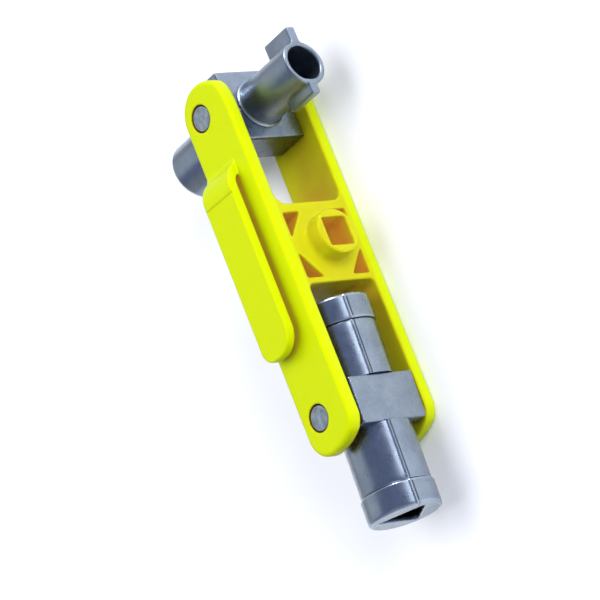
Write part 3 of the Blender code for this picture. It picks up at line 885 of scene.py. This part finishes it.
# %% Make the barrels and rings
NODE_GAP = 0.12
BARREL_RADIUS = 8.25
BARREL_BORE = 6.6
BARREL_EDGE = 0.3
BARREL_FLOOR = 3.0
RING_RADIUS = 8.65
RING_LENGTH = 6.2
RING_ROUND = 0.9
RING_BACK_ROUND = 0.35
LOWER_OFFSET = LOWER_BLOCK_MIDDLE[1]
LOWER_BLOCK_HALF = LOWER_BLOCK_SIZE[0] / 2
TRIANGLE_REACH = 26.1
SQUARE_REACH = 25.2
RIDGE_ANGLE = math.radians(20)
RIDGE_HEIGHT = 0.16
RIDGE_WIDTH = 0.028
ROUND_STEPS = 400
TRIANGLE_SIDE = 13.0
SQUARE_ACROSS = 9.0


def bell(off, width):
    """A bell curve, exp(-(off / width) squared): one at the middle and nought beyond three widths."""
    return np.exp(-(off / width) ** 2)


def off_ridge(angle):
    """The angle from the ridge, between minus and plus half a turn."""
    return (angle - RIDGE_ANGLE + math.pi) % (2 * math.pi) - math.pi


def parting_ridge(out, angle):
    """A low ridge at one angle, on the outside only."""
    return (out > BARREL_BORE + 1) * RIDGE_HEIGHT * bell(off_ridge(angle), RIDGE_WIDTH)


def ridge_highlight_and_shade(stations):
    """A painted highlight on the ridge's top, and a painted line of shade just below it."""
    out = np.array(stations, float)[:, 1:2]
    off = off_ridge(2 * math.pi * np.arange(ROUND_STEPS) / ROUND_STEPS)
    # Painted highlight on the crest and painted shade just below it.
    rubbed = 1.1 * bell(off - 0.012, 0.03) - bell(off + 0.06, 0.025)
    return ((out > BARREL_BORE + 1) * rubbed).reshape(-1)


def along_lower_key(points, way, start):
    """Points turned about x, placed on the lower key's forward or backward arm."""
    shifted = points * [way, 1.0, 1.0] + [way * start, LOWER_OFFSET, 0.0]
    return on_key(shifted, LOWER_KEY)


def make_barrel(name, node, way, reach):
    """A hollow barrel from the block to its ring, closed at the block."""
    start = LOWER_BLOCK_HALF + 0.02
    length = reach - RING_LENGTH - NODE_GAP - start
    stations = [(0.0, 0.0, 0.0), (0.0, BARREL_RADIUS, 0.0)]
    stations += [(x, BARREL_RADIUS, 0.0) for x in np.linspace(0.1, length - BARREL_EDGE, 12)]
    stations += round_path((length - BARREL_EDGE, BARREL_RADIUS - BARREL_EDGE), BARREL_EDGE, 90, 0, 4)
    stations += [(length, BARREL_BORE, 0.0), (BARREL_FLOOR, BARREL_BORE, 0.0), (BARREL_FLOOR, 0.0, 0.0)]
    points, faces = carry_round(stations, ROUND_STEPS, ridge=parting_ridge)
    wear_and_shade = station_wear_and_shade(stations, ROUND_STEPS, inside=len(stations) - 2) + ridge_highlight_and_shade(stations)
    write_piece(name, along_lower_key(points, way, start), faces, wear_and_shade,
                key_finish, "lower_key", node, crease=35)


def make_ring(name, node, way, reach, hole):
    """A socket ring: a round outside and a keyed hole through it, both with eased edges."""
    flat = RING_RADIUS - RING_ROUND
    back = (RING_BACK_ROUND, RING_RADIUS - RING_BACK_ROUND)
    stations = [(0.0, back[1], 0.0)] + round_path(back, RING_BACK_ROUND, 180, 90, 4)[1:]
    stations += [(x, RING_RADIUS, 0.0) for x in np.linspace(0.6, RING_LENGTH - RING_ROUND - 0.1, 6)]
    stations += round_path((RING_LENGTH - RING_ROUND, flat), RING_ROUND, 90, 0, 8)
    stations += [(RING_LENGTH, flat - 0.08, 0.0), (RING_LENGTH, 0.33, 1.0), (RING_LENGTH, 0.25, 1.0)]
    stations += [(RING_LENGTH - 0.12, 0.07, 1.0), (RING_LENGTH - 0.3, 0.0, 1.0)]
    stations += [(RING_LENGTH - 1.2, 0.0, 1.0), (0.3, 0.0, 1.0), (0.0, 0.2, 1.0)]
    points, faces = carry_round(stations, ROUND_STEPS, hole=hole, ridge=parting_ridge)
    wear_and_shade = station_wear_and_shade(stations, ROUND_STEPS, inside=len(stations) - 3) + ridge_highlight_and_shade(stations)
    write_piece(name, along_lower_key(points, way, reach - RING_LENGTH), faces, wear_and_shade,
                key_finish, "lower_key", node, crease=35)


def triangle_hole(angle):
    """The three-sided socket, with one corner towards the key's front."""
    return keyed_reach(angle, 3, TRIANGLE_SIDE / (2 * math.sqrt(3)), 1.0, 0.0)


def square_hole(angle):
    """The square socket, with its flats square to the key."""
    return keyed_reach(angle, 4, SQUARE_ACROSS / 2, 0.5, math.pi / 4)


make_barrel("triangle_barrel_cast", "triangle_barrel", 1, TRIANGLE_REACH)
make_ring("triangle_ring_cast", "triangle_socket_ring", 1, TRIANGLE_REACH, triangle_hole)
make_barrel("square_barrel_cast", "square_barrel", -1, SQUARE_REACH)
make_ring("square_ring_cast", "square_socket_ring", -1, SQUARE_REACH, square_hole)

# %% [markdown]
# ## The upper key's bit tube
#
# The front arm is a hollow stem with two opposite bits, like an old door key. The bits run into
# the stem with small fillets, so this is a field again: a cylinder, a slab for both bits at once,
# the bore cut through the two, and a flare where the stem meets the block.

# %% Make the bit tube
UPPER_OFFSET = UPPER_BLOCK_MIDDLE[1]
UPPER_FRONT = 24.9
STEM_START = 6.32
STEM_RADIUS = 5.6
STEM_BORE = 4.3
STEM_FLARE = 1.3
BIT_LENGTH = 9.1
BIT_THICKNESS = 2.4
BIT_HALF_SPAN = 8.65
BIT_SHIFT = 0.75
BORE_DEPTH = 17.0


def bit_tube_field(x, y, z):
    """Stem and bits joined by a fillet, the bore cut out, and the back end closed flat."""
    out = np.hypot(y - UPPER_OFFSET, z)
    near = np.clip((STEM_START + STEM_FLARE - x) / STEM_FLARE, 0, 1)
    flare = STEM_FLARE * (1 - np.sqrt(1 - near ** 2))
    stem = both(out - STEM_RADIUS - flare, x - UPPER_FRONT, 0.6)
    middle = UPPER_FRONT - BIT_LENGTH / 2
    bits = both(np.abs(x - middle) - BIT_LENGTH / 2, np.abs(z) - BIT_THICKNESS / 2, 0.35)
    bits = both(bits, np.abs(y - UPPER_OFFSET - BIT_SHIFT) - BIT_HALF_SPAN, 0.5)
    tube = either(stem, bits, 0.5)
    bore = np.maximum(out - STEM_BORE, UPPER_FRONT - BORE_DEPTH - x)
    tube = cut(tube, bore, 0.65)
    return np.maximum(tube, STEM_START - x)


tube_low = (STEM_START, UPPER_OFFSET + BIT_SHIFT - BIT_HALF_SPAN, -7.0)
tube_high = (UPPER_FRONT, UPPER_OFFSET + BIT_SHIFT + BIT_HALF_SPAN, 7.0)
tube_points, tube_faces = field_surface(bit_tube_field, tube_low, tube_high, 0.2)
tube_wear_and_shade = edge_and_crease_of(bit_tube_field, tube_points, 0.5)
write_piece("bit_tube_cast", on_key(tube_points, UPPER_KEY), tube_faces, tube_wear_and_shade, tube_finish,
            "upper_key", "double_bit_tube")

# %% [markdown]
# ## The upper key's rear barrel
#
# The rear arm is a plain barrel with a rounded end and a square socket. Its hole is blind, so the
# stations run down the hole and finish on the axis at its floor.

# %% Make the rear barrel
REAR_RADIUS = 7.05
REAR_OFFSET = -2.25
REAR_ROUND = 1.3
REAR_START = 3.52
REAR_REACH = 22.0
REAR_DEPTH = 13.0
REAR_SQUARE = 8.0


def rear_hole(angle):
    """The rear socket, with its flats square to the key."""
    return keyed_reach(angle, 4, REAR_SQUARE / 2, 0.4, math.pi / 4)


length = REAR_REACH - REAR_START
flat = REAR_RADIUS - REAR_ROUND
rear = [(0.0, 0.0, 0.0), (0.0, REAR_RADIUS, 0.0)]
rear += [(x, REAR_RADIUS, 0.0) for x in np.linspace(0.1, length - REAR_ROUND - 0.1, 12)]
rear += round_path((length - REAR_ROUND, flat), REAR_ROUND, 90, 0, 8)
rear += [(length, flat - 0.08, 0.0), (length, 0.2, 1.0), (length, 0.12, 1.0)]
rear += [(length - 0.2, 0.0, 1.0), (length - 1.2, 0.0, 1.0), (length - REAR_DEPTH, 0.0, 1.0)]
rear += [(length - REAR_DEPTH, 0.0, 0.0)]
points, faces = carry_round(rear, ROUND_STEPS, hole=rear_hole)
points = points * [-1.0, 1.0, 1.0] + [-REAR_START, REAR_OFFSET, 0.0]
rear_wear_and_shade = station_wear_and_shade(rear, ROUND_STEPS, inside=len(rear) - 3)
write_piece("rear_barrel_cast", on_key(points, UPPER_KEY), faces, rear_wear_and_shade,
            key_finish, "upper_key", "small_square_barrel", crease=35)

# %% [markdown]
# ## Floor, light and camera
#
# A plain pale floor takes the tool's soft shadow. It dips a little towards its rim.

# %% The floor
def pale_floor(size, height):
    """A wide floor: a grid that is flat under the tool and dips very slightly towards its rim."""
    steps = 24
    u, v = np.meshgrid(np.linspace(-1, 1, steps + 1), np.linspace(-1, 1, steps + 1), indexing="ij")
    points = np.stack([u * size, v * size, height - 0.01 * (u ** 2 + v ** 2)], -1).reshape(-1, 3)
    corner = (np.arange(steps)[:, None] * (steps + 1) + np.arange(steps)).ravel()
    faces = np.stack([corner, corner + steps + 1, corner + steps + 2, corner + 1], 1)
    mesh = bpy.data.meshes.new("studio_floor")
    mesh.from_pydata(points.tolist(), [], faces.tolist())
    mesh.shade_smooth()
    floor = bpy.data.objects.new("studio_floor", mesh)
    bpy.context.scene.collection.objects.link(floor)
    finish, tree, shader, place = new_finish("pale_paper")
    tone = ramp(tree, noise(tree, place, 40.0, 3.0), 0.3, 0.7, 0.0, 1.0)
    colour = mix_colour(tree, tone, (0.93, 0.93, 0.93), (0.95, 0.95, 0.95))
    tree.links.new(colour, shader.inputs["Base Color"])
    shader.inputs["Roughness"].default_value = 0.9
    mesh.materials.append(finish)
    return floor


pale_floor(2.5, cad_box[0][2])
print("floor at z =", round(cad_box[0][2], 4))

# %% [markdown]
# The world is a pale studio with two darker patches towards the camera and overhead, because
# polished metal looks like metal only when it has something dark to reflect. Two paler patches
# stand behind the tool and to one side, and a small bright one low in front gives the barrels their
# glint. A patch is full where the cosine to its direction is over its inner limit, and gone under
# its outer one.

# %% The world
DARK_SIDE = (0.22, 0.26, 0.42)
PALE_SIDE = (0.80, 0.83, 0.88)
GLINT = (9.0, 9.2, 9.5)


def studio_world(base, patches):
    """A plain surround with soft round patches, each a direction, two limits of cosine and a colour."""
    world = bpy.data.worlds.new("studio")
    world.use_nodes = True
    bpy.context.scene.world = world
    tree = world.node_tree
    way = tree.nodes.new("ShaderNodeTexCoord").outputs["Generated"]
    colour = base
    for direction, outer, inner, tone in patches:
        aim = tuple(Vector(direction).normalized())
        facing = add(tree, "ShaderNodeVectorMath", {0: way, 1: aim}, operation="DOT_PRODUCT")
        colour = mix_colour(tree, ramp(tree, facing.outputs["Value"], outer, inner, 0.0, 1.0), colour, tone)
    tree.links.new(colour, tree.nodes["Background"].inputs["Color"])
    return world


studio_world((0.46, 0.465, 0.475), [
    ((-0.15, 0.72, 0.62), 0.62, 0.84, DARK_SIDE),
    ((0.1, -0.3, 0.85), 0.70, 0.92, DARK_SIDE),
    ((-0.45, -0.75, 0.75), 0.86, 0.95, PALE_SIDE),
    ((-0.9, 0.1, 0.35), 0.86, 0.95, PALE_SIDE),
    ((-0.30, 0.95, 0.12), 0.991, 0.998, GLINT),
])
print("world set")

# %% [markdown]
# Two broad lamps, one overhead and one low in front, light the tool without being seen in it. A
# small one to the side does the opposite: it adds no light, and shows only as a highlight along the
# edges of the cast pieces.

# %% The lamps


def soft_lamp(name, place, size, power, fills=True):
    """A square area lamp turned towards the tool: it fills unseen, or it only shows as a highlight."""
    lamp = bpy.data.lights.new(name, "AREA")
    lamp.shape = "SQUARE"
    lamp.size = size
    lamp.energy = power
    holder = bpy.data.objects.new(name, lamp)
    bpy.context.scene.collection.objects.link(holder)
    holder.location = place
    holder.rotation_euler = (-Vector(place)).to_track_quat("-Z", "Y").to_euler()
    holder.visible_glossy = not fills
    holder.visible_diffuse = fills
    return holder


soft_lamp("overhead_lamp", (-0.2, -0.1, 0.9), 0.9, 6.6)
soft_lamp("front_lamp", (-0.15, 0.95, 0.42), 0.7, 10.5)
soft_lamp("edge_lamp", (-0.71, 0.42, 0.345), 0.16, 4.8, fills=False)
print("lamps set")

# %% [markdown]
# The camera looks down on the tool from in front with a long lens, so that the yoke's edges draw
# together only a little. Its turn is built from the way back to the camera and a rough way up.

# %% The camera
CAMERA_BACK = Vector((0.3036, 0.6905, 0.6566)).normalized()
CAMERA_PLACE = (0.3160, 0.69728, 0.68285)
CAMERA_UP = Vector((-0.8859, 0.4582, -0.0721))

lens = bpy.data.cameras.new("view")
lens.lens = 270.2
lens.sensor_width = 36.0
lens.clip_start = 0.01
viewer = bpy.data.objects.new("view", lens)
bpy.context.scene.collection.objects.link(viewer)
camera_right = CAMERA_UP.cross(CAMERA_BACK).normalized()
camera_up = CAMERA_BACK.cross(camera_right)
turn = Matrix((camera_right, camera_up, CAMERA_BACK)).transposed()
viewer.matrix_world = Matrix.Translation(CAMERA_PLACE) @ turn.to_4x4()
bpy.context.scene.camera = viewer
bpy.context.scene.view_settings.view_transform = "Standard"
print("camera", [round(v, 3) for v in CAMERA_PLACE])
